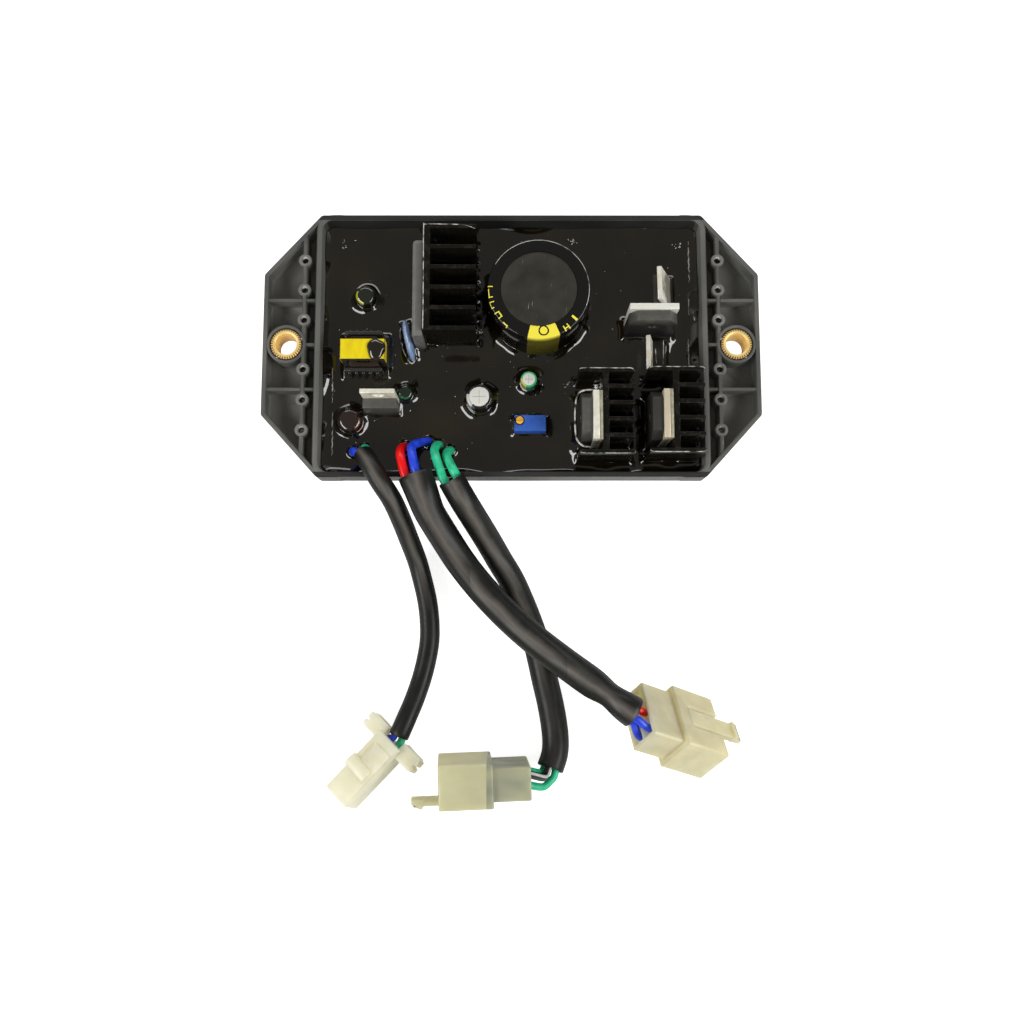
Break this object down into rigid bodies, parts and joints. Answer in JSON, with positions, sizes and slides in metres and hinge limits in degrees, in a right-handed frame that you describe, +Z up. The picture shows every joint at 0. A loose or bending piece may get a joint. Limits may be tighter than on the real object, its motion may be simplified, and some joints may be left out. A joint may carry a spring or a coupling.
{
  "type": "automatic voltage regulator",
  "caption": "Potted control box with ribbed mounting ears, finned heat sinks and a large capacitor; sleeved leads end in nylon connectors.",
  "frame": {"origin": "middle of the case's underside, on the surface that the case stands on", "axes": "+X from ear to ear towards the two transistor heat sinks, +Y away from the leads, +Z up out of the open top"},
  "size_m": [0.149, 0.1781, 0.0313],
  "materials": {
    "case_nylon": "moulded black nylon, satin",
    "brass": "turned and knurled",
    "laminate": "glass laminate with solder mask",
    "resin": "poured, glossy",
    "sink": "black anodised extrusion",
    "shrink_black": "shrink sleeve",
    "can_silver": "bare can",
    "can_green": "shrink sleeve",
    "blue_epoxy": "dipped epoxy",
    "core_tape": "tape over ferrite",
    "bobbin": "moulded",
    "winding": "enamelled wire",
    "black_epoxy": "moulded epoxy",
    "tab": "tinned copper tab",
    "pad": "insulating pad",
    "trimmer": "moulded",
    "sleeve": "extruded sleeve",
    "milky_nylon": "natural nylon",
    "wire_red": "insulation",
    "wire_blue": "insulation",
    "wire_green": "insulation",
    "wire_black": "insulation"
  },
  "bodies": {
    "root": {"case": "case_nylon", "bush_left": "brass", "bush_right": "brass", "circuit_board": "laminate", "potting_resin": "resin", "heat_sink_left": "sink", "heat_sink_middle": "sink", "heat_sink_right": "sink", "main_capacitor": "shrink_black", "capacitor_upper_left": "shrink_black", "capacitor_by_regulator": "can_green", "capacitor_lower_left": "shrink_black", "capacitor_silver": "can_silver", "capacitor_green": "can_green", "bridge_rectifier": "black_epoxy", "disc_varistor": "blue_epoxy", "transformer_core": "core_tape", "transformer_bobbin": "bobbin", "transformer_winding": "winding", "trimmer_body": "trimmer", "trimmer_screw": "brass", "sleeve_left": "sleeve", "sleeve_middle": "sleeve", "sleeve_right": "sleeve", "connector_left": "milky_nylon", "connector_middle": "milky_nylon", "connector_right": "milky_nylon", "regulator_tab": "tab", "regulator_body": "black_epoxy", "thyristor_tab": "tab", "thyristor_body": "black_epoxy", "transistor_upper_tab": "tab", "transistor_upper_body": "black_epoxy", "transistor_lower_tab": "tab", "transistor_lower_body": "black_epoxy", "transistor_middle_tab": "tab", "transistor_middle_body": "black_epoxy", "transistor_right_tab": "tab", "transistor_right_body": "black_epoxy", "transistor_middle_pad": "pad", "transistor_right_pad": "pad", "wire_blue_left": "wire_blue", "wire_green_left": "wire_green", "wire_red_middle": "wire_red", "wire_blue_middle": "wire_blue", "wire_green_inner": "wire_green", "wire_green_outer": "wire_green", "wire_blue_left_end": "wire_blue", "wire_green_left_end": "wire_green", "wire_red_middle_end": "wire_red", "wire_blue_middle_end": "wire_blue", "wire_blue_lower_end": "wire_blue", "wire_green_upper_end": "wire_green", "wire_black_end": "wire_black", "wire_green_lower_end": "wire_green"}
  },
  "joints": []
}
